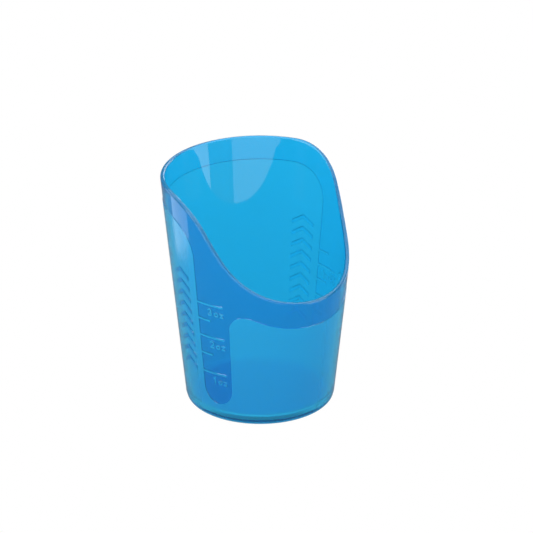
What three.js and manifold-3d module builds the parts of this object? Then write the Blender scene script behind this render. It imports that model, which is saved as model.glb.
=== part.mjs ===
// A drinking and feeding cup with a cut-out rim, moulded in one piece of clear blue plastic.
// The round wall flares from a flat floor. Its front side is cut low in one smooth curve, so that the cup
// can be tipped right up without touching the drinker's nose.
//
// Millimetres. +Z is up, the cut-out faces -Y, and the origin is the centre of the flat underside.
// An angle round the wall is measured from the middle of the cut-out, and grows towards +X.

import * as THREE from 'three';
import { mergeVertices } from 'three/addons/utils/BufferGeometryUtils.js';
import { TessellateModifier } from 'three/addons/modifiers/TessellateModifier.js';
import Module from 'manifold-3d';

// Wall and floor
const HEIGHT = 81.5;
const BASE_RADIUS = 24.95;
const RIM_RADIUS = 33.4;
const WALL = 1.5;
const FLOOR = 2.5;
const FOOT_CORNER = 1.6;
const FLOOR_CORNER = 2.2;
const WALL_SIDES = 72;
const SECTION_STEPS = 3;

// Cut-out, as seen from the side: level rim, round shoulder, straight slope, hollow curve to the low lip
const SHOULDER_START = -12.7;
const SHOULDER_RADIUS = 21;
const SLOPE = THREE.MathUtils.degToRad(60);
const SLOPE_LENGTH = 9.8;
const HOLLOW_RADIUS = 41.5;

// Raised matt panels, which leave a smooth band under the rim and two smooth windows for the scales
const PANEL_RISE = 0.18;
const BAND_DEPTH = 9.5;
const BAND_STEPS = 8;
const PANEL_FOOT = 2;
const BACK_PANEL_TOP = HEIGHT - 8.6;
const BACK_CORNER = 12;
const FRONT_CORNER = { reach: 6.3, rise: 2.5, turn: 2.1, end: 4.3 };
const FRONT_TOP_END = THREE.MathUtils.degToRad(41.5);
const WINDOW_NEAR = THREE.MathUtils.degToRad(66.2);
const WINDOW_FAR = THREE.MathUtils.degToRad(90.3);
const WINDOW_FOOT = 12.6;

// Scales: volumes in millilitres, each with a long or a short ridge from the far edge of its window
const OUNCE = 29.57;
const OUNCE_MARKS = [1, 1.5, 2, 2.5, 3];
const MILLILITRE_MARKS = [25, 37.5, 50, 62.5, 75, 87.5];
const LONG_MARK = THREE.MathUtils.degToRad(20);
const SHORT_MARK = THREE.MathUtils.degToRad(10);
const MARK_WIDTH = 0.7;

// Column of grip chevrons behind each window
const CHEVRON_ANGLE = THREE.MathUtils.degToRad(105);
const CHEVRON_WIDTH = 8;
const CHEVRON_RISE = 2.4;
const CHEVRON_STROKE = 1.1;
const CHEVRON_PITCH = 4.2;
const CHEVRON_COUNT = 9;
const CHEVRON_START = 17.5;
const CHEVRON_RELIEF = 0.2;

// Flat plates are drawn round a cylinder of this radius, then wrapped onto the flared wall. The wall is
// straight from top to bottom, so plates are split finely across and only WRAP_STRETCH times as long.
const WRAP_RADIUS = 29;
const WRAP_STEP = 5;
const WRAP_STRETCH = 10;
const SINK = 0.5;
const SEAM_OVERLAP = 0.5;

const flare = (RIM_RADIUS - BASE_RADIUS) / HEIGHT;
const flareAngle = Math.atan(flare);
const innerBaseRadius = BASE_RADIUS - WALL / Math.cos(flareAngle);

const wasm = await Module();
wasm.setup();

function wallRadius(z) {
  return BASE_RADIUS + flare * z;
}

// Height of the rim at a distance in front of the axis, as seen from the side.
function sideHeight(forward) {
  const slopeStart = SHOULDER_START + SHOULDER_RADIUS * Math.sin(SLOPE);
  const slopeTop = HEIGHT - SHOULDER_RADIUS * (1 - Math.cos(SLOPE));
  const slopeEnd = slopeStart + SLOPE_LENGTH * Math.cos(SLOPE);
  const slopeFoot = slopeTop - SLOPE_LENGTH * Math.sin(SLOPE);
  if (forward <= SHOULDER_START) {
    return HEIGHT;
  }
  if (forward <= slopeStart) {
    return HEIGHT - SHOULDER_RADIUS + Math.sqrt(SHOULDER_RADIUS ** 2 - (forward - SHOULDER_START) ** 2);
  }
  if (forward <= slopeEnd) {
    return slopeTop - (forward - slopeStart) * Math.tan(SLOPE);
  }
  const hollowX = slopeEnd + HOLLOW_RADIUS * Math.sin(SLOPE);
  const hollowZ = slopeFoot + HOLLOW_RADIUS * Math.cos(SLOPE);
  return hollowZ - Math.sqrt(HOLLOW_RADIUS ** 2 - (forward - hollowX) ** 2);
}

// Height of the rim at an angle. The flare makes height and distance depend on each other, so it is
// worked out in a few rounds.
function rimHeight(angle) {
  let z = HEIGHT;
  for (let round = 0; round < 12; round += 1) {
    z = sideHeight((wallRadius(z) - WALL / 2) * Math.cos(angle));
  }
  return z;
}

// Half section of a cup with a level rim, from the middle of the underside round to the middle of the floor.
function wallSection() {
  const lean = -flareAngle;
  const footX = wallRadius(FOOT_CORNER) - FOOT_CORNER / Math.cos(flareAngle);
  const lipX = wallRadius(HEIGHT - WALL / 2) - WALL / 2 / Math.cos(flareAngle);
  const floorZ = FLOOR + FLOOR_CORNER;
  const floorX = innerBaseRadius + flare * floorZ - FLOOR_CORNER / Math.cos(flareAngle);
  const section = new THREE.Path();
  section.moveTo(0, 0);
  section.lineTo(footX, 0);
  section.absarc(footX, FOOT_CORNER, FOOT_CORNER, -Math.PI / 2, lean, false);
  section.absarc(lipX, HEIGHT - WALL / 2, WALL / 2, lean, lean + Math.PI, false);
  section.absarc(floorX, floorZ, FLOOR_CORNER, lean, -Math.PI / 2, true);
  section.lineTo(0, FLOOR);
  return section.getPoints(SECTION_STEPS);
}

// Slides the lip down the flared wall to the height of the cut-out rim.
function lowerLip(geometry) {
  const position = geometry.getAttribute('position');
  const point = new THREE.Vector3();
  for (let i = 0; i < position.count; i += 1) {
    point.fromBufferAttribute(position, i);
    if (point.z > HEIGHT / 2) {
      const angle = Math.atan2(point.x, -point.y);
      const drop = HEIGHT - rimHeight(angle);
      const radius = Math.hypot(point.x, point.y);
      const scale = (radius - flare * drop) / radius;
      position.setXYZ(i, point.x * scale, point.y * scale, point.z - drop);
    }
  }
}

function cupGeometry() {
  const geometry = new THREE.LatheGeometry(wallSection(), WALL_SIDES);
  geometry.rotateX(Math.PI / 2);
  lowerLip(geometry);
  return geometry;
}

// A point of the band's lower edge, which runs a fixed distance below the rim along the wall.
function bandEdge(angle) {
  const step = 0.01;
  const along = WRAP_RADIUS * 2 * step;
  const climb = rimHeight(angle + step) - rimHeight(angle - step);
  const length = Math.hypot(along, climb);
  const rim = new THREE.Vector2(WRAP_RADIUS * angle, rimHeight(angle));
  return rim.add(new THREE.Vector2(climb, -along).multiplyScalar(BAND_DEPTH / length));
}

// Flat outline of the raised panels on one side of the cup, from the front middle to the back middle.
function panelOutline(side) {
  const near = WRAP_RADIUS * WINDOW_NEAR;
  const far = WRAP_RADIUS * WINDOW_FAR;
  const middle = (near + far) / 2;
  const back = WRAP_RADIUS * Math.PI + SEAM_OVERLAP;
  const front = bandEdge(0);
  const frontEnd = bandEdge(FRONT_TOP_END);
  const outline = new THREE.Shape();
  outline.moveTo(-SEAM_OVERLAP * side, PANEL_FOOT);
  outline.lineTo(-SEAM_OVERLAP * side, front.y);
  for (let i = 0; i <= BAND_STEPS; i += 1) {
    const edge = bandEdge((FRONT_TOP_END * i) / BAND_STEPS);
    outline.lineTo(edge.x * side, edge.y);
  }
  outline.bezierCurveTo(
    (frontEnd.x + FRONT_CORNER.reach) * side, frontEnd.y + FRONT_CORNER.rise,
    near * side, frontEnd.y - FRONT_CORNER.turn,
    near * side, frontEnd.y - FRONT_CORNER.end,
  );
  outline.lineTo(near * side, WINDOW_FOOT);
  const radius = (far - near) / 2;
  const startAngle = side > 0 ? Math.PI : 0;
  outline.absarc(middle * side, WINDOW_FOOT, radius, startAngle, Math.PI - startAngle, side < 0);
  outline.lineTo(far * side, BACK_PANEL_TOP - BACK_CORNER);
  outline.absarc(
    (far + BACK_CORNER) * side, BACK_PANEL_TOP - BACK_CORNER,
    BACK_CORNER, startAngle, Math.PI / 2, side > 0,
  );
  outline.lineTo(back * side, BACK_PANEL_TOP);
  outline.lineTo(back * side, PANEL_FOOT);
  return outline;
}

// Height up the wall at which the cup holds a volume, taking the inside as a plain cone.
function levelOf(millilitres) {
  const floorRadius = innerBaseRadius + flare * FLOOR;
  const levelRadius = Math.cbrt(floorRadius ** 3 + (3 * flare * millilitres * 1000) / Math.PI);
  return (levelRadius - innerBaseRadius) / flare;
}

// Ridges of one scale. Every whole step of the scale has a long one, every half step a short one.
function scaleOutlines(volumes, wholeStep, side) {
  const far = WRAP_RADIUS * WINDOW_FAR + SEAM_OVERLAP;
  return volumes.map((volume) => {
    const isWhole = Number.isInteger(volume / wholeStep);
    const length = WRAP_RADIUS * (isWhole ? LONG_MARK : SHORT_MARK) + SEAM_OVERLAP;
    const low = levelOf(volume) - MARK_WIDTH / 2;
    const ridge = new THREE.Shape();
    ridge.moveTo(far * side, low);
    ridge.lineTo((far - length) * side, low);
    ridge.lineTo((far - length) * side, low + MARK_WIDTH);
    ridge.lineTo(far * side, low + MARK_WIDTH);
    return ridge;
  });
}

function chevronOutlines(side) {
  const outlines = [];
  const x = WRAP_RADIUS * CHEVRON_ANGLE * side;
  for (let i = 0; i < CHEVRON_COUNT; i += 1) {
    const foot = CHEVRON_START + CHEVRON_PITCH * i;
    const chevron = new THREE.Shape();
    chevron.moveTo(x - CHEVRON_WIDTH / 2, foot);
    chevron.lineTo(x, foot + CHEVRON_RISE);
    chevron.lineTo(x + CHEVRON_WIDTH / 2, foot);
    chevron.lineTo(x + CHEVRON_WIDTH / 2, foot + CHEVRON_STROKE);
    chevron.lineTo(x, foot + CHEVRON_RISE + CHEVRON_STROKE);
    chevron.lineTo(x - CHEVRON_WIDTH / 2, foot + CHEVRON_STROKE);
    outlines.push(chevron);
  }
  return outlines;
}

// Extrudes a flat outline into a plate and wraps it round the wall, standing out of it by rise.
function wrappedPlate(outline, rise) {
  const plate = new THREE.ExtrudeGeometry(outline, {
    depth: rise + SINK,
    bevelEnabled: false,
    curveSegments: 6,
  });
  plate.translate(0, 0, -SINK);
  plate.scale(1, 1 / WRAP_STRETCH, 1);
  const fine = new TessellateModifier(WRAP_STEP, 12).modify(plate);
  fine.scale(1, WRAP_STRETCH, 1);
  const position = fine.getAttribute('position');
  const point = new THREE.Vector3();
  for (let i = 0; i < position.count; i += 1) {
    point.fromBufferAttribute(position, i);
    const angle = point.x / WRAP_RADIUS;
    const radius = wallRadius(point.y) + point.z;
    position.setXYZ(i, radius * Math.sin(angle), -radius * Math.cos(angle), point.y);
  }
  return fine;
}

// Shares the vertices of a closed geometry. A lathe's triangles that end on the axis collapse, and go.
function toSolid(geometry) {
  const bare = new THREE.BufferGeometry();
  bare.setAttribute('position', geometry.getAttribute('position').clone());
  if (geometry.index) {
    bare.setIndex(geometry.index.clone());
  }
  const merged = mergeVertices(bare, 1e-4);
  const corners = [];
  for (let i = 0; i < merged.index.count; i += 3) {
    const [a, b, c] = merged.index.array.subarray(i, i + 3);
    if (a !== b && b !== c && c !== a) {
      corners.push(a, b, c);
    }
  }
  return new wasm.Manifold(new wasm.Mesh({
    numProp: 3,
    vertProperties: new Float32Array(merged.getAttribute('position').array),
    triVerts: new Uint32Array(corners),
  }));
}

function toGeometry(solid) {
  const mesh = solid.getMesh();
  const geometry = new THREE.BufferGeometry();
  geometry.setAttribute('position', new THREE.BufferAttribute(mesh.vertProperties, 3));
  geometry.setIndex(new THREE.BufferAttribute(mesh.triVerts, 1));
  geometry.computeVertexNormals();
  return geometry;
}

function cupSolid() {
  let solid = toSolid(cupGeometry());
  for (const side of [-1, 1]) {
    solid = solid.add(toSolid(wrappedPlate(panelOutline(side), PANEL_RISE)));
    for (const chevron of chevronOutlines(side)) {
      solid = solid.add(toSolid(wrappedPlate(chevron, PANEL_RISE + CHEVRON_RELIEF)));
    }
  }
  const ounces = OUNCE_MARKS.map((mark) => mark * OUNCE);
  const ridges = [
    ...scaleOutlines(ounces, OUNCE, -1),
    ...scaleOutlines(MILLILITRE_MARKS, 25, 1),
  ];
  for (const ridge of ridges) {
    solid = solid.add(toSolid(wrappedPlate(ridge, PANEL_RISE)));
  }
  return solid;
}

function bluePlastic() {
  return new THREE.MeshStandardMaterial({
    name: 'clear_blue_plastic',
    color: 0x1f9fdc,
    roughness: 0.08,
    metalness: 0,
    transparent: true,
    opacity: 0.6,
  });
}

const cupBody = new THREE.Mesh(toGeometry(cupSolid()), bluePlastic());
cupBody.name = 'cup_body';

const cup = new THREE.Group();
cup.add(cupBody);

export default cup;
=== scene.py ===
"""Visual model of a clear blue cut-out feeding cup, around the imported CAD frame.

The CAD node is replaced by one fine closed mesh of the same cup: rounded lip, raised matt panels, two
smooth windows with measuring ridges and numbers, grip chevrons, and marks under the base. The studio is
plain: one white backdrop and soft boxes.
"""
import math

import bmesh
import bpy
import numpy as np
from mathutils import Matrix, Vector
from mathutils.geometry import delaunay_2d_cdt


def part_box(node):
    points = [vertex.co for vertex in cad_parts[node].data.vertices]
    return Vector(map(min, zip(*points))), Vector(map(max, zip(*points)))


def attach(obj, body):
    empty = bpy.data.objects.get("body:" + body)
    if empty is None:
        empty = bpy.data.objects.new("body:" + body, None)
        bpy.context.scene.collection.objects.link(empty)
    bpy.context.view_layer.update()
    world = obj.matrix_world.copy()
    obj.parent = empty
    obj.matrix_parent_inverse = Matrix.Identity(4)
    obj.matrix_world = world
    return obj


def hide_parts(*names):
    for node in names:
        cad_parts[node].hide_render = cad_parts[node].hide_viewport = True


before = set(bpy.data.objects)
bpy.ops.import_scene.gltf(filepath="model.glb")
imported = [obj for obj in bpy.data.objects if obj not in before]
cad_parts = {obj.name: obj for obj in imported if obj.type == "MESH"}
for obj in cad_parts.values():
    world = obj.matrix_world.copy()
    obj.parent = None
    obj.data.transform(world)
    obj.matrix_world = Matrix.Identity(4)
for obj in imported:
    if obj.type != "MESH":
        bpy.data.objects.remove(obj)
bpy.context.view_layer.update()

# --- Sizes in millimetres. +Z is up, the cut-out faces -Y, angles start at the cut-out and grow to +X. ---
MM = 0.001
HEIGHT = round(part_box("cup_body")[1][2] / MM, 1)
BASE_RADIUS = 24.95
RIM_RADIUS = 33.4
WALL = 1.5
FLOOR = 2.5
FOOT_CORNER = 1.6
FLOOR_CORNER = 2.2

# Cut-out, as seen from the side: level rim, round shoulder, straight slope, hollow curve to the low lip.
SHOULDER_START = -12.7
SHOULDER_RADIUS = 21.0
SLOPE = math.radians(60)
SLOPE_LENGTH = 9.8
HOLLOW_RADIUS = 41.5

# Raised matt panels, the smooth band above them and the two smooth windows between them.
PANEL_RISE = 0.16
STEP_WIDTH = 0.22
TOP_MARGIN = 0.02
BAND_DEPTH = 9.5
PANEL_FOOT = 2.2
BACK_PANEL_TOP = HEIGHT - 8.6
BACK_CORNER = 12.0
FRONT_CORNER_REACH = 6.3
FRONT_CORNER_RISE = 2.5
FRONT_CORNER_TURN = 2.1
FRONT_CORNER_END = 4.3
FRONT_TOP_END = math.radians(41.5)
WINDOW_NEAR = math.radians(66.2)
WINDOW_FAR = math.radians(90.3)
WINDOW_FOOT = 12.6

# Measuring ridges, and figures below them. FIGURE_GAP and FIGURE_MARGIN are shares of the figures' height.
OUNCE = 29.57
OUNCE_MARKS = (1, 1.5, 2, 2.5, 3)
MILLILITRE_MARKS = (25, 37.5, 50, 62.5, 75, 87.5)
LONG_MARK = math.radians(20)
SHORT_MARK = math.radians(10)
MARK_WIDTH = 0.65
FIGURE_HEIGHT = 2.35
FIGURE_STROKE = 0.45
FIGURE_SLOPE = 0.1
FIGURE_DROP = 1.5
FIGURE_GAP = 0.13
FIGURE_MARGIN = 0.18
OUNCE_FIGURE_ANGLE = math.radians(-80.3)
OUNCE_UNIT_ANGLE = math.radians(-73.6)
MILLILITRE_FIGURE_ANGLE = math.radians(72)
MILLILITRE_UNIT_ANGLE = math.radians(81)

# Grip chevrons behind each window.
CHEVRON_ANGLE = math.radians(105)
CHEVRON_WIDTH = 8.0
CHEVRON_RISE = 2.4
CHEVRON_STROKE = 1.1
CHEVRON_PITCH = 4.2
CHEVRON_COUNT = 9
CHEVRON_START = 17.5
CHEVRON_RELIEF = 0.18

# Marks under the base.
DOT_RING_RADIUS = 20.6
DOT_COUNT = 40
DOT_RADIUS = 0.55
GATE_RADIUS = 2.6
MARK_DEPTH = 0.18

# Mesh resolution.
WRAP_RADIUS = 29.0
COLUMNS = 240
RIM_ROUNDS = 14
BAND_STEPS = 26
CORNER_POINTS = 16
SEAM_OVERLAP = 4
ROW_STEP = 1.6
LONGEST_EDGE = 0.8
LIP_STEPS = 14
CORNER_STEPS = 8
INNER_ROWS = 24
FLOOR_RINGS = 10
UNDERSIDE_RINGS = 14
WELD = 0.02
SHARP_ANGLE = math.radians(22)
LEVEL_COSINE = math.cos(math.radians(2))

POLISHED, MATT, THICK = 0, 1, 2
PLASTIC_IOR = 1.5
POLISHED_BLUE = (0.014, 0.47, 0.84)
POLISHED_CLEAR = 0.79
POLISHED_ROUGHNESS = 0.03
MATT_BLUE = (0.04, 0.64, 0.94)
MATT_CLEAR = 0.67
MATT_ROUGHNESS = 0.05
# Noise bump of each finish: scale, detail, strength and depth in metres
POLISHED_WAVES = (45, 1, 0.25, 0.0002)
MATT_GRAIN = (3200, 2, 0.25, 0.00008)
FLOOR_DISC = 0.12
FLOOR_SIDES = 96
FLOOR_DROP = 0.0002
BACKDROP = 1.0
ROOM_LEVEL = 0.25
CAMERA_TURN = -134.7
CAMERA_LENS = 270.17
CAMERA_SENSOR = 36
CAMERA_CLIP = (0.1, 20)
CAMERA_PLACE = (-0.87075, -0.85869, 0.61712)
CAMERA_YAW = 0.00175
CAMERA_PITCH = 0.43597
CUP_TURN = math.radians(-45.4)
BOX_DISTANCE = 0.9
BOX_HEIGHT = 1.2
OVERHEAD_SIZE = 2.4
OVERHEAD_POWER = 31.0
# Tall soft boxes round the table: name, degrees right of the camera, width in metres, watts
SOFT_BOXES = (
    ("front_box", 5, 1.0, 4.5),
    ("left_box", -52, 0.32, 4.0),
    ("far_left_box", -115, 0.5, 2.0),
    ("right_box", 78, 0.4, 2.8),
    ("back_right_box", 145, 0.7, 7.0),
)

FLARE = (RIM_RADIUS - BASE_RADIUS) / HEIGHT
LEAN = math.atan(FLARE)
INNER_BASE = BASE_RADIUS - WALL / math.cos(LEAN)


# --- The cup's shape ---

def wall_radius(z):
    return BASE_RADIUS + FLARE * z


def side_height(forward):
    """Height of the rim at a distance in front of the axis, as seen from the side."""
    slope_start = SHOULDER_START + SHOULDER_RADIUS * math.sin(SLOPE)
    slope_top = HEIGHT - SHOULDER_RADIUS * (1 - math.cos(SLOPE))
    slope_end = slope_start + SLOPE_LENGTH * math.cos(SLOPE)
    slope_foot = slope_top - SLOPE_LENGTH * math.sin(SLOPE)
    if forward <= SHOULDER_START:
        return HEIGHT
    if forward <= slope_start:
        arc = math.sqrt(SHOULDER_RADIUS ** 2 - (forward - SHOULDER_START) ** 2)
        return HEIGHT - SHOULDER_RADIUS + arc
    if forward <= slope_end:
        return slope_top - (forward - slope_start) * math.tan(SLOPE)
    hollow_x = slope_end + HOLLOW_RADIUS * math.sin(SLOPE)
    hollow_z = slope_foot + HOLLOW_RADIUS * math.cos(SLOPE)
    return hollow_z - math.sqrt(HOLLOW_RADIUS ** 2 - (forward - hollow_x) ** 2)


def rim_height(angle):
    """Height of the rim at an angle: height and radius depend on each other, so in a few rounds."""
    z = HEIGHT
    for _ in range(RIM_ROUNDS):
        z = side_height((wall_radius(z) - WALL / 2) * math.cos(angle))
    return z


def outward(angle):
    """Normal of the wall's outer face, which leans down because the wall flares."""
    return np.array([
        math.sin(angle) * math.cos(LEAN),
        -math.cos(angle) * math.cos(LEAN),
        -math.sin(LEAN),
    ])


def on_wall(angle, z, out=0.0):
    """Point on the wall's outer face at a height, moved out along the face's normal."""
    radius = wall_radius(z)
    return np.array([radius * math.sin(angle), -radius * math.cos(angle), z]) + out * outward(angle)


def level_of(millilitres):
    """Height up the wall at which the cup holds a volume, taking the inside as a plain cone."""
    floor_radius = INNER_BASE + FLARE * FLOOR
    level_radius = (floor_radius ** 3 + 3 * FLARE * millilitres * 1000 / math.pi) ** (1 / 3)
    return (level_radius - INNER_BASE) / FLARE


# --- Flat outlines, drawn round a cylinder of WRAP_RADIUS and later wrapped onto the wall ---

def arc_points(x, y, radius, start, end, steps):
    angles = np.linspace(start, end, steps + 1)
    return [(x + radius * math.cos(a), y + radius * math.sin(a)) for a in angles]


def bezier_points(p0, p1, p2, p3, steps):
    points = []
    for t in np.linspace(0, 1, steps + 1):
        a, b, c, d = (1 - t) ** 3, 3 * t * (1 - t) ** 2, 3 * t * t * (1 - t), t ** 3
        points.append((
            a * p0[0] + b * p1[0] + c * p2[0] + d * p3[0],
            a * p0[1] + b * p1[1] + c * p2[1] + d * p3[1],
        ))
    return points


def band_edge(angle):
    """A point of the band's lower edge, which runs a fixed distance below the rim along the wall."""
    step = 0.01
    along = WRAP_RADIUS * 2 * step
    climb = rim_height(angle + step) - rim_height(angle - step)
    length = math.hypot(along, climb)
    x = WRAP_RADIUS * angle + climb * BAND_DEPTH / length
    return x, rim_height(angle) - along * BAND_DEPTH / length


def panel_outline():
    """Outline of the raised panels, closed across the back seam on both sides."""
    near = WRAP_RADIUS * WINDOW_NEAR
    far = WRAP_RADIUS * WINDOW_FAR
    back = WRAP_RADIUS * math.pi + SEAM_OVERLAP
    end = band_edge(FRONT_TOP_END)
    half = [band_edge(FRONT_TOP_END * i / BAND_STEPS) for i in range(BAND_STEPS + 1)]
    half += bezier_points(
        end, (end[0] + FRONT_CORNER_REACH, end[1] + FRONT_CORNER_RISE),
        (near, end[1] - FRONT_CORNER_TURN), (near, end[1] - FRONT_CORNER_END), CORNER_POINTS,
    )[1:]
    half += arc_points((near + far) / 2, WINDOW_FOOT, (far - near) / 2, math.pi, 2 * math.pi, 28)
    top = BACK_PANEL_TOP
    half += arc_points(far + BACK_CORNER, top - BACK_CORNER, BACK_CORNER, math.pi, math.pi / 2, 20)
    half += [(back, top), (back, PANEL_FOOT)]
    mirrored = [(-x, y) for x, y in reversed(half)]
    return mirrored[:-1] + half


def box_outline(x0, x1, y0, y1):
    return [(x0, y0), (x1, y0), (x1, y1), (x0, y1)]


def mark_outlines():
    """Ridges of both scales: long ones at whole steps, short ones at half steps."""
    far = WRAP_RADIUS * WINDOW_FAR
    scales = (
        ([v * OUNCE for v in OUNCE_MARKS], OUNCE, -1),
        (MILLILITRE_MARKS, 25, 1),
    )
    outlines = []
    for volumes, whole, side in scales:
        for volume in volumes:
            is_whole = abs(volume / whole - round(volume / whole)) < 1e-6
            length = WRAP_RADIUS * (LONG_MARK if is_whole else SHORT_MARK)
            ends = sorted((side * (far + 0.6), side * (far - length)))
            z = level_of(volume)
            outlines.append(box_outline(*ends, z - MARK_WIDTH / 2, z + MARK_WIDTH / 2))
    return outlines


def chevron_outlines():
    outlines = []
    for side in (-1, 1):
        x = WRAP_RADIUS * CHEVRON_ANGLE * side
        for i in range(CHEVRON_COUNT):
            foot = CHEVRON_START + CHEVRON_PITCH * i
            outlines.append([
                (x - CHEVRON_WIDTH / 2, foot),
                (x, foot + CHEVRON_RISE),
                (x + CHEVRON_WIDTH / 2, foot),
                (x + CHEVRON_WIDTH / 2, foot + CHEVRON_STROKE),
                (x, foot + CHEVRON_RISE + CHEVRON_STROKE),
                (x - CHEVRON_WIDTH / 2, foot + CHEVRON_STROKE),
            ])
    return outlines


# --- Figures: strokes in a box 1 high, as lists of lines ---

def figure_strokes():
    bowl = [(0.28 + 0.28 * math.cos(a), 0.28 + 0.28 * math.sin(a)) for a in np.linspace(0, 2 * math.pi, 17)]
    hook = arc_points(0.3, 0.7, 0.3, math.radians(165), math.radians(-35), 8)
    upper = arc_points(0.28, 0.74, 0.26, math.radians(150), math.radians(-85), 7)
    lower = arc_points(0.28, 0.27, 0.28, math.radians(85), math.radians(-150), 7)
    belly = arc_points(0.28, 0.32, 0.32, math.radians(125), math.radians(-150), 9)
    ring = [(0.3 + 0.28 * math.cos(a), 0.5 + 0.5 * math.sin(a)) for a in np.linspace(0, 2 * math.pi, 19)]
    hump = arc_points(0.2, 0.34, 0.2, math.pi, 0, 6)
    next_hump = [(x + 0.4, y) for x, y in hump]
    return {
        "1": ([[(0.12, 0.82), (0.32, 1.0), (0.32, 0.0)]], 0.6),
        "2": ([hook + [(0.0, 0.0), (0.6, 0.0)]], 0.78),
        "3": ([upper, lower], 0.76),
        "5": ([[(0.54, 1.0), (0.1, 1.0), (0.08, 0.58)] + belly], 0.78),
        "7": ([[(0.0, 1.0), (0.58, 1.0), (0.2, 0.0)]], 0.76),
        "0": ([ring], 0.78),
        "o": ([bowl], 0.74),
        "z": ([[(0.0, 0.54), (0.46, 0.54), (0.0, 0.0), (0.46, 0.0)]], 0.6),
        "m": ([[(0.0, 0.54), (0.0, 0.0)], hump + [(0.4, 0.0)], next_hump + [(0.8, 0.0)]], 1.0),
        "l": ([[(0.0, 1.0), (0.0, 0.0)]], 0.2),
    }


def text_strokes(text, middle, top):
    """Strokes of a short text, centred on a place along the wall and hanging from a height."""
    figures = figure_strokes()
    width = sum(figures[c][1] + FIGURE_GAP for c in text) - FIGURE_MARGIN - FIGURE_GAP
    x = middle - width * FIGURE_HEIGHT / 2
    strokes = []
    for c in text:
        lines, advance = figures[c]
        for line in lines:
            strokes.append([(x + px * FIGURE_HEIGHT, top + (py - 1) * FIGURE_HEIGHT) for px, py in line])
        x += (advance + FIGURE_GAP) * FIGURE_HEIGHT
    return strokes


def scale_texts():
    texts = []
    for ounces in (1, 2, 3):
        top = level_of(ounces * OUNCE) - FIGURE_DROP
        texts.append(text_strokes(str(ounces), WRAP_RADIUS * OUNCE_FIGURE_ANGLE, top))
        texts.append(text_strokes("oz", WRAP_RADIUS * OUNCE_UNIT_ANGLE, top))
    for millilitres in (25, 50, 75):
        top = level_of(millilitres) - FIGURE_DROP
        texts.append(text_strokes(str(millilitres), WRAP_RADIUS * MILLILITRE_FIGURE_ANGLE, top))
        texts.append(text_strokes("ml", WRAP_RADIUS * MILLILITRE_UNIT_ANGLE, top))
    return texts


# --- Outlines of strokes, and heights from signed distances ---

def offset_line(line, by):
    """A line moved to its left by a distance, with its corners kept joined."""
    points = [np.array(p, float) for p in line]
    closed = np.hypot(*(points[0] - points[-1])) < 1e-6
    moved = []
    last = len(points) - 1
    for i, here in enumerate(points):
        before = points[last - 1] if closed and i == 0 else points[max(i - 1, 0)]
        after = points[1] if closed and i == last else points[min(i + 1, last)]
        directions = [d / np.hypot(*d) for d in (here - before, after - here) if np.hypot(*d) > 1e-9]
        normals = [np.array([-d[1], d[0]]) for d in directions]
        middle = sum(normals) / len(normals)
        moved.append(tuple(here + middle * by / max(middle @ middle, 0.35)))
    return moved


def stroke_outlines(line, reach):
    """Outlines at a distance round one stroke: two rings for a closed stroke, else one with round ends."""
    left = offset_line(line, reach)
    right = offset_line(line, -reach)
    if np.hypot(line[0][0] - line[-1][0], line[0][1] - line[-1][1]) < 1e-6:
        return [left[:-1], right[:-1]]
    caps = []
    for tip, inner in ((line[-1], line[-2]), (line[0], line[1])):
        heading = math.atan2(tip[1] - inner[1], tip[0] - inner[0])
        caps.append(arc_points(*tip, reach, heading - math.pi / 2, heading + math.pi / 2, 6)[1:-1])
    return [right + caps[0] + left[::-1] + caps[1]]


def grown(outline, by):
    """A closed outline moved out by a distance."""
    area = sum(a[0] * b[1] - b[0] * a[1] for a, b in zip(outline, outline[1:] + outline[:1]))
    return offset_line(outline + outline[:1], -math.copysign(by, area))[:-1]


def line_distance(points, lines):
    """Distance from each point to the nearest of some lines, each a row of points."""
    best = np.full(len(points), 1e9)
    for line in lines:
        for a, b in zip(line[:-1], line[1:]):
            a, b = np.array(a), np.array(b)
            d = b - a
            t = np.clip(((points - a) @ d) / max(d @ d, 1e-12), 0, 1)
            best = np.minimum(best, np.hypot(*(points - a - t[:, None] * d).T))
    return best


def outline_distance(points, outline):
    """Signed distance to a closed outline, negative inside."""
    ring = np.array(outline + outline[:1])
    distance = line_distance(points, [ring])
    inside = np.zeros(len(points), bool)
    x, y = points[:, 0], points[:, 1]
    for (x0, y0), (x1, y1) in zip(ring[:-1], ring[1:]):
        if y1 != y0:
            crosses = (y0 > y) != (y1 > y)
            inside ^= crosses & (x < (x1 - x0) * (y - y0) / (y1 - y0) + x0)
    return np.where(inside, -distance, distance)


def step_height(distance, rise, width):
    """Full height inside an outline, falling to nothing over a short slope outside it."""
    return rise * np.clip(1 - distance / width, 0, 1)


def near(points, shape, margin=1.0):
    """Which points are close to a shape's box."""
    low = np.min(shape, axis=0) - margin
    high = np.max(shape, axis=0) + margin
    return ((points > low) & (points < high)).all(axis=1)


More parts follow.
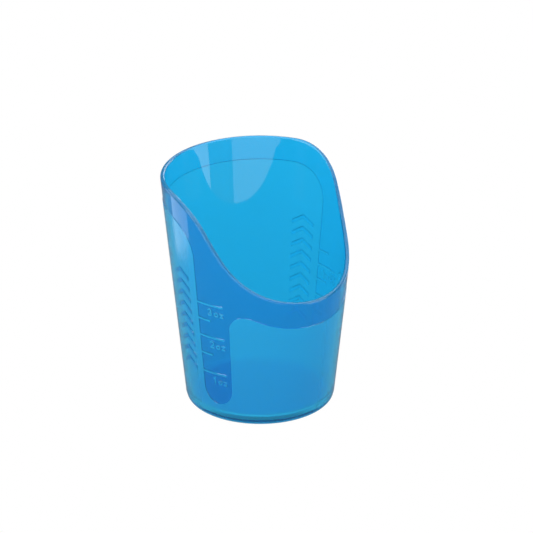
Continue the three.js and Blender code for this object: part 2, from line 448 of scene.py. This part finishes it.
class WallRelief:
    """Everything that stands out of the wall's outer face, drawn flat."""

    def __init__(self):
        self.panels = panel_outline()
        self.raised = [(outline, 0.0, PANEL_RISE) for outline in mark_outlines()]
        self.raised += [(outline, PANEL_RISE, CHEVRON_RELIEF) for outline in chevron_outlines()]
        self.texts = scale_texts()

    def edges(self):
        """Outlines that the mesh's edges follow: the top and the foot of every slope."""
        for outline in [self.panels] + [shape[0] for shape in self.raised]:
            yield outline
            yield grown(outline, STEP_WIDTH)
        for text in self.texts:
            for line in text:
                yield from stroke_outlines(line, FIGURE_STROKE / 2)
                yield from stroke_outlines(line, FIGURE_STROKE / 2 + FIGURE_SLOPE)

    def heights(self, points):
        height = step_height(outline_distance(points, self.panels), PANEL_RISE, STEP_WIDTH)
        for outline, base, rise in self.raised:
            close = near(points, outline)
            raised = base + step_height(outline_distance(points[close], outline), rise, STEP_WIDTH)
            height[close] = np.maximum(height[close], raised)
        for text in self.texts:
            close = near(points, [p for line in text for p in line])
            stroke = line_distance(points[close], text) - FIGURE_STROKE / 2
            raised = step_height(stroke, PANEL_RISE, FIGURE_SLOPE)
            height[close] = np.maximum(height[close], raised)
        return height

    def is_matt(self, points):
        """Matt places: panels without their polished chevrons, and the tops of ridges and figures."""
        matt = outline_distance(points, self.panels) < TOP_MARGIN
        for outline, base, _ in self.raised:
            close = near(points, outline)
            distance = outline_distance(points[close], outline)
            if base > 0:
                matt[close] &= distance > STEP_WIDTH
            else:
                matt[close] |= distance < TOP_MARGIN
        for text in self.texts:
            close = near(points, [p for line in text for p in line])
            matt[close] |= line_distance(points[close], text) < FIGURE_STROKE / 2 + TOP_MARGIN
        return matt


# --- Flat triangulation ---

def split_long(outline, longest):
    """A closed outline with extra points, so that no edge is longer than a limit."""
    points = []
    for (x0, y0), (x1, y1) in zip(outline, outline[1:] + outline[:1]):
        parts = max(math.ceil(math.hypot(x1 - x0, y1 - y0) / longest), 1)
        points += [(x0 + (x1 - x0) * i / parts, y0 + (y1 - y0) * i / parts) for i in range(parts)]
    return points


def triangulate(border, inner_points, outlines):
    """Triangles inside a border whose edges follow some outlines. Gives flat points and triangles."""
    points = list(border) + list(inner_points)
    edges = [(i, (i + 1) % len(border)) for i in range(len(border))]
    for outline in outlines:
        outline = split_long(outline, LONGEST_EDGE)
        start = len(points)
        points += outline
        edges += [(start + i, start + (i + 1) % len(outline)) for i in range(len(outline))]
    vectors = [Vector(p) for p in points]
    flat, _, faces = delaunay_2d_cdt(vectors, edges, [list(range(len(border)))], 1, 1e-5, False)[:3]
    return np.array([tuple(v) for v in flat]), faces


def wall_sheet(relief, top_ring):
    """The wall's outer face, unrolled: its top edge is the first ring of the lip."""
    half = WRAP_RADIUS * math.pi
    spacing = 2 * half / COLUMNS
    foot = FOOT_CORNER * (1 - math.sin(LEAN))
    top = [(WRAP_RADIUS * math.atan2(p[0], -p[1]), p[2]) for p in top_ring]
    top[0] = (-half, top[0][1])
    top.append((half, top[0][1]))
    seam_rows = int((top[0][1] - foot) / ROW_STEP)
    seam = np.linspace(foot, top[0][1], seam_rows + 1)[1:-1]
    border = [(-half + spacing * i, foot) for i in range(COLUMNS + 1)]
    border += [(half, z) for z in seam]
    border += top[::-1]
    border += [(-half, z) for z in seam[::-1]]
    inner = []
    top_x, top_z = np.array(top).T
    for i in range(1, COLUMNS):
        x = -half + spacing * i
        high = np.interp(x, top_x, top_z)
        rows = max(int((high - foot) / ROW_STEP), 2)
        stagger = 0.5 * (i % 2)
        inner += [(x, foot + (high - foot) * (j + stagger) / rows) for j in range(1, rows)]
    outlines = [[(min(max(x, -half), half), y) for x, y in outline] for outline in relief.edges()]
    flat, faces = triangulate(border, inner, outlines)
    middles = [flat[list(face)].mean(axis=0) for face in faces]
    return flat, [face for face, (x, y) in zip(faces, middles) if y < np.interp(x, top_x, top_z)]


def underside_marks():
    """Round marks under the base, as middle and radius: a ring of dots and the moulding gate."""
    turns = [2 * math.pi * i / DOT_COUNT for i in range(DOT_COUNT)]
    dots = [((DOT_RING_RADIUS * math.cos(a), DOT_RING_RADIUS * math.sin(a)), DOT_RADIUS) for a in turns]
    return dots + [((0.0, 0.0), GATE_RADIUS)]


def underside_sheet(radius):
    """The flat underside, with shallow round marks pressed into it."""
    turns = [2 * math.pi * i / COLUMNS for i in range(COLUMNS)]
    border = [(radius * math.sin(a), -radius * math.cos(a)) for a in turns]
    inner = []
    for ring in range(1, UNDERSIDE_RINGS):
        r = radius * ring / UNDERSIDE_RINGS
        count = int(COLUMNS * ring / UNDERSIDE_RINGS)
        around = np.linspace(0, 2 * math.pi, count, endpoint=False)
        inner += [(r * math.cos(a), r * math.sin(a)) for a in around]
    marks = underside_marks()
    outlines = []
    for (x, y), size in marks:
        steps = max(int(size * 16), 12)
        for reach in (size, size + STEP_WIDTH):
            outlines.append(arc_points(x, y, reach, 0, 2 * math.pi, steps)[:-1])
    flat, faces = triangulate(border, inner, outlines)
    height = np.zeros(len(flat))
    for middle, size in marks:
        distance = np.hypot(*(flat - middle).T) - size
        height = np.maximum(height, step_height(distance, MARK_DEPTH, STEP_WIDTH))
    return flat, faces, height


# --- Rings of points round the cup ---

RING_ANGLES = [2 * math.pi * i / COLUMNS - math.pi for i in range(COLUMNS)]


def lip_rings():
    """Half-round lip that follows the rim, from the outer face (first ring) over to the inner face."""
    step = 0.002
    lift = WALL / 2 * math.sin(LEAN)
    rings = [[] for _ in range(LIP_STEPS + 1)]
    for angle in RING_ANGLES:
        normal = outward(angle)
        crest = on_wall(angle, rim_height(angle) - lift, -WALL / 2)
        ahead = on_wall(angle + step, rim_height(angle + step), -WALL / 2)
        behind = on_wall(angle - step, rim_height(angle - step), -WALL / 2)
        up = np.cross(normal, ahead - behind)
        up *= math.copysign(1 / np.linalg.norm(up), up[2])
        middle = crest - up * WALL / 2
        for i, ring in enumerate(rings):
            turn = math.pi * i / LIP_STEPS
            ring.append(middle + WALL / 2 * (math.cos(turn) * normal + math.sin(turn) * up))
    return rings


def flat_ring(radius, z):
    return [np.array([radius * math.sin(a), -radius * math.cos(a), z]) for a in RING_ANGLES]


def corner_rings(x, z, radius, start, end):
    return [flat_ring(px, pz) for px, pz in arc_points(x, z, radius, start, end, CORNER_STEPS)]


def foot_rings():
    """Rounded edge of the base, from the wall (first ring) to the underside (last ring)."""
    wall_x = wall_radius(FOOT_CORNER * (1 - math.sin(LEAN)))
    return corner_rings(wall_x - FOOT_CORNER * math.cos(LEAN), FOOT_CORNER, FOOT_CORNER, -LEAN, -math.pi / 2)


def inner_rings(top):
    """Inner face from the lip's last ring down, round the corner and over the floor to its middle."""
    corner_z = FLOOR + FLOOR_CORNER
    floor_x = INNER_BASE + FLARE * corner_z - FLOOR_CORNER * (1 / math.cos(LEAN))
    corner = corner_rings(floor_x, corner_z, FLOOR_CORNER, -LEAN, -math.pi / 2)
    rings = []
    for row in range(1, INNER_ROWS):
        t = row / INNER_ROWS
        ring = []
        for a, b in zip(top, corner[0]):
            turn_a = math.atan2(a[0], -a[1])
            turn_b = math.atan2(b[0], -b[1])
            turn_b += round((turn_a - turn_b) / (2 * math.pi)) * 2 * math.pi
            angle = turn_a + (turn_b - turn_a) * t
            z = a[2] + (b[2] - a[2]) * t
            radius = INNER_BASE + FLARE * z
            ring.append(np.array([radius * math.sin(angle), -radius * math.cos(angle), z]))
        rings.append(ring)
    rings += corner
    rings += [flat_ring(floor_x * (1 - i / FLOOR_RINGS), FLOOR) for i in range(1, FLOOR_RINGS)]
    return rings


# --- One closed mesh ---

class MeshParts:
    """Gathers points and faces in millimetres, with a material for each face."""

    def __init__(self):
        self.points = []
        self.faces = []
        self.materials = []

    def add(self, points, faces, materials):
        start = len(self.points)
        self.points += [tuple(p) for p in points]
        self.faces += [[start + i for i in face] for face in faces]
        self.materials += materials

    def add_rings(self, rings, closed_middle=None, material=POLISHED):
        """Quads between neighbouring rings, and a fan to one middle point after the last ring."""
        count = len(rings[0])
        points = [p for ring in rings for p in ring]
        faces = []
        for row in range(len(rings) - 1):
            for i in range(count):
                j = (i + 1) % count
                a, b = row * count, (row + 1) * count
                faces.append([a + i, a + j, b + j, b + i])
        if closed_middle is not None:
            last = (len(rings) - 1) * count
            points.append(closed_middle)
            faces += [[last + i, last + (i + 1) % count, len(points) - 1] for i in range(count)]
        self.add(points, faces, [material] * len(faces))

    def build(self, name):
        mesh = bpy.data.meshes.new(name)
        mesh.from_pydata([(x * MM, y * MM, z * MM) for x, y, z in self.points], [], self.faces)
        mesh.polygons.foreach_set("material_index", self.materials)
        bm = bmesh.new()
        bm.from_mesh(mesh)
        open_points = [v for v in bm.verts if any(e.is_boundary for e in v.link_edges)]
        bmesh.ops.remove_doubles(bm, verts=open_points, dist=WELD * MM)
        bmesh.ops.dissolve_degenerate(bm, edges=bm.edges, dist=1e-7)
        bmesh.ops.recalc_face_normals(bm, faces=bm.faces)
        bm.to_mesh(mesh)
        bm.free()
        return mesh


def cup_parts():
    relief = WallRelief()
    lip = lip_rings()
    flat, faces = wall_sheet(relief, lip[0])
    heights = relief.heights(flat)
    middles = np.array([flat[list(face)].mean(axis=0) for face in faces])
    matt = relief.is_matt(middles)
    parts = MeshParts()
    wall = [on_wall(x / WRAP_RADIUS, z, out) for (x, z), out in zip(flat, heights)]
    parts.add(wall, faces, [MATT if m else POLISHED for m in matt])
    inner = inner_rings(lip[-1])
    parts.add_rings(lip + inner[:-FLOOR_RINGS + 1])
    parts.add_rings(inner[-FLOOR_RINGS:], np.array([0.0, 0.0, FLOOR]), THICK)
    foot = foot_rings()
    parts.add_rings(foot)
    radius = np.hypot(*foot[-1][0][:2])
    flat, faces, depth = underside_sheet(radius)
    under = [(x, y, z) for (x, y), z in zip(flat, depth)]
    parts.add(under, faces, [THICK] * len(faces))
    return parts


def smooth_normals(mesh):
    """Smooth shading with crisp relief edges; level parts of the outer wall get the cone's own normal."""
    mesh.shade_smooth()
    mesh.set_sharp_from_angle(angle=SHARP_ANGLE)
    normals = [(0.0, 0.0, 0.0)] * len(mesh.loops)
    for polygon in mesh.polygons:
        middle = polygon.center
        cone = Vector(outward(math.atan2(middle.x, -middle.y)))
        outer = math.hypot(middle.x, middle.y) > (wall_radius(middle.z / MM) - WALL / 4) * MM
        if outer and middle.z > FOOT_CORNER * MM and polygon.normal.dot(cone) > LEVEL_COSINE:
            for i in polygon.loop_indices:
                p = mesh.vertices[mesh.loops[i].vertex_index].co
                normals[i] = tuple(outward(math.atan2(p.x, -p.y)))
    mesh.normals_split_custom_set(normals)


# --- Materials ---

def plastic_shader(name, colour, roughness, clear):
    """Clear blue plastic: partly see-through, partly cloudy."""
    material = bpy.data.materials.new(name)
    material.use_nodes = True
    tree = material.node_tree
    shader = tree.nodes["Principled BSDF"]
    shader.inputs["Base Color"].default_value = (*colour, 1)
    shader.inputs["IOR"].default_value = PLASTIC_IOR
    shader.inputs["Roughness"].default_value = roughness
    shader.inputs["Transmission Weight"].default_value = clear
    return material, tree, shader


def add_noise_bump(tree, shader, scale, detail, strength, distance):
    """Fine unevenness, fixed to the object."""
    place = tree.nodes.new("ShaderNodeTexCoord")
    noise = tree.nodes.new("ShaderNodeTexNoise")
    noise.inputs["Scale"].default_value = scale
    noise.inputs["Detail"].default_value = detail
    tree.links.new(place.outputs["Object"], noise.inputs["Vector"])
    bump = tree.nodes.new("ShaderNodeBump")
    bump.inputs["Strength"].default_value = strength
    bump.inputs["Distance"].default_value = distance
    tree.links.new(noise.outputs["Fac"], bump.inputs["Height"])
    tree.links.new(bump.outputs["Normal"], shader.inputs["Normal"])


def polished_plastic():
    name = "clear_blue_polished"
    material, tree, shader = plastic_shader(name, POLISHED_BLUE, POLISHED_ROUGHNESS, POLISHED_CLEAR)
    add_noise_bump(tree, shader, *POLISHED_WAVES)
    return material


def thick_plastic():
    """The floor is thicker than the wall, so the same plastic tints more."""
    colour = tuple(c ** (FLOOR / WALL) for c in POLISHED_BLUE)
    material, tree, shader = plastic_shader("clear_blue_thick", colour, POLISHED_ROUGHNESS, POLISHED_CLEAR)
    add_noise_bump(tree, shader, *POLISHED_WAVES)
    return material


def matt_plastic():
    material, tree, shader = plastic_shader("clear_blue_matt", MATT_BLUE, MATT_ROUGHNESS, MATT_CLEAR)
    add_noise_bump(tree, shader, *MATT_GRAIN)
    return material


# --- Stage ---

def backdrop_colour(tree, strength):
    """One plain white for floor and room: full to look at, straight or through plastic, and dimmer as a
    light and in reflections."""
    path = tree.nodes.new("ShaderNodeLightPath")
    seen = tree.nodes.new("ShaderNodeMath")
    seen.operation = 'MAXIMUM'
    tree.links.new(path.outputs["Is Camera Ray"], seen.inputs[0])
    tree.links.new(path.outputs["Is Transmission Ray"], seen.inputs[1])
    level = tree.nodes.new("ShaderNodeMapRange")
    level.inputs["To Min"].default_value = ROOM_LEVEL
    level.inputs["To Max"].default_value = BACKDROP
    tree.links.new(seen.outputs[0], level.inputs["Value"])
    tree.links.new(level.outputs["Result"], strength)


def make_floor():
    """Plain pale disc in the backdrop's white, so that it has no horizon."""
    bm = bmesh.new()
    bmesh.ops.create_circle(bm, cap_ends=True, segments=FLOOR_SIDES, radius=FLOOR_DISC)
    mesh = bpy.data.meshes.new("floor")
    bm.to_mesh(mesh)
    bm.free()
    material = bpy.data.materials.new("pale_floor")
    material.use_nodes = True
    tree = material.node_tree
    tree.nodes.clear()
    glow = tree.nodes.new("ShaderNodeEmission")
    glow.inputs["Color"].default_value = (1, 1, 1, 1)
    backdrop_colour(tree, glow.inputs["Strength"])
    out = tree.nodes.new("ShaderNodeOutputMaterial")
    tree.links.new(glow.outputs[0], out.inputs["Surface"])
    mesh.materials.append(material)
    floor = bpy.data.objects.new("floor", mesh)
    floor.location.z = -FLOOR_DROP
    bpy.context.collection.objects.link(floor)


def make_world():
    """Plain white room."""
    world = bpy.data.worlds.new("studio")
    bpy.context.scene.world = world
    world.use_nodes = True
    background = world.node_tree.nodes["Background"]
    background.inputs["Color"].default_value = (1, 1, 1, 1)
    backdrop_colour(world.node_tree, background.inputs["Strength"])


def soft_box(name, width, height, power):
    """Soft box that gloss shows as a reflection. The camera doesn't see it, straight or through plastic."""
    light = bpy.data.lights.new(name, 'AREA')
    light.shape = 'RECTANGLE'
    light.size = width
    light.size_y = height
    light.energy = power
    holder = bpy.data.objects.new(name, light)
    holder.visible_camera = False
    holder.visible_transmission = False
    bpy.context.collection.objects.link(holder)
    return holder


def standing_box(name, turn, width, power):
    """Tall soft box beside the table, facing the cup."""
    holder = soft_box(name, width, BOX_HEIGHT, power)
    angle = math.radians(CAMERA_TURN - turn)
    away = Vector((math.sin(angle), math.cos(angle), 0))
    holder.location = BOX_DISTANCE * away
    holder.rotation_euler = away.to_track_quat('Z', 'Y').to_euler()


def overhead_box():
    """Wide soft box above the table. It lights the cloudy share of the plastic, and is wide so that the
    flat floor mirrors it only faintly."""
    holder = soft_box("overhead_box", OVERHEAD_SIZE, OVERHEAD_SIZE, OVERHEAD_POWER)
    holder.location = (0, 0, BOX_DISTANCE)


def make_camera():
    """Long lens at the fitted place. The line of sight is turned with the cup's own turn about the axis."""
    camera = bpy.data.cameras.new("camera")
    camera.lens = CAMERA_LENS
    camera.sensor_width = CAMERA_SENSOR
    camera.clip_start, camera.clip_end = CAMERA_CLIP
    holder = bpy.data.objects.new("camera", camera)
    level = math.cos(CAMERA_PITCH)
    x = math.sin(CAMERA_YAW) * level
    y = math.cos(CAMERA_YAW) * level
    c, s = math.cos(CUP_TURN), math.sin(CUP_TURN)
    ahead = Vector((c * x - s * y, s * x + c * y, -math.sin(CAMERA_PITCH)))
    holder.location = CAMERA_PLACE
    holder.rotation_euler = ahead.to_track_quat('-Z', 'Y').to_euler()
    bpy.context.collection.objects.link(holder)
    bpy.context.scene.camera = holder


def main():
    mesh = cup_parts().build("feeding_cup")
    smooth_normals(mesh)
    mesh.materials.append(polished_plastic())
    mesh.materials.append(matt_plastic())
    mesh.materials.append(thick_plastic())
    cup = bpy.data.objects.new("feeding_cup", mesh)
    bpy.context.collection.objects.link(cup)
    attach(cup, "root")
    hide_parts("cup_body")
    make_floor()
    make_world()
    for box in SOFT_BOXES:
        standing_box(*box)
    overhead_box()
    make_camera()
    bpy.context.scene.view_settings.view_transform = 'Standard'


main()
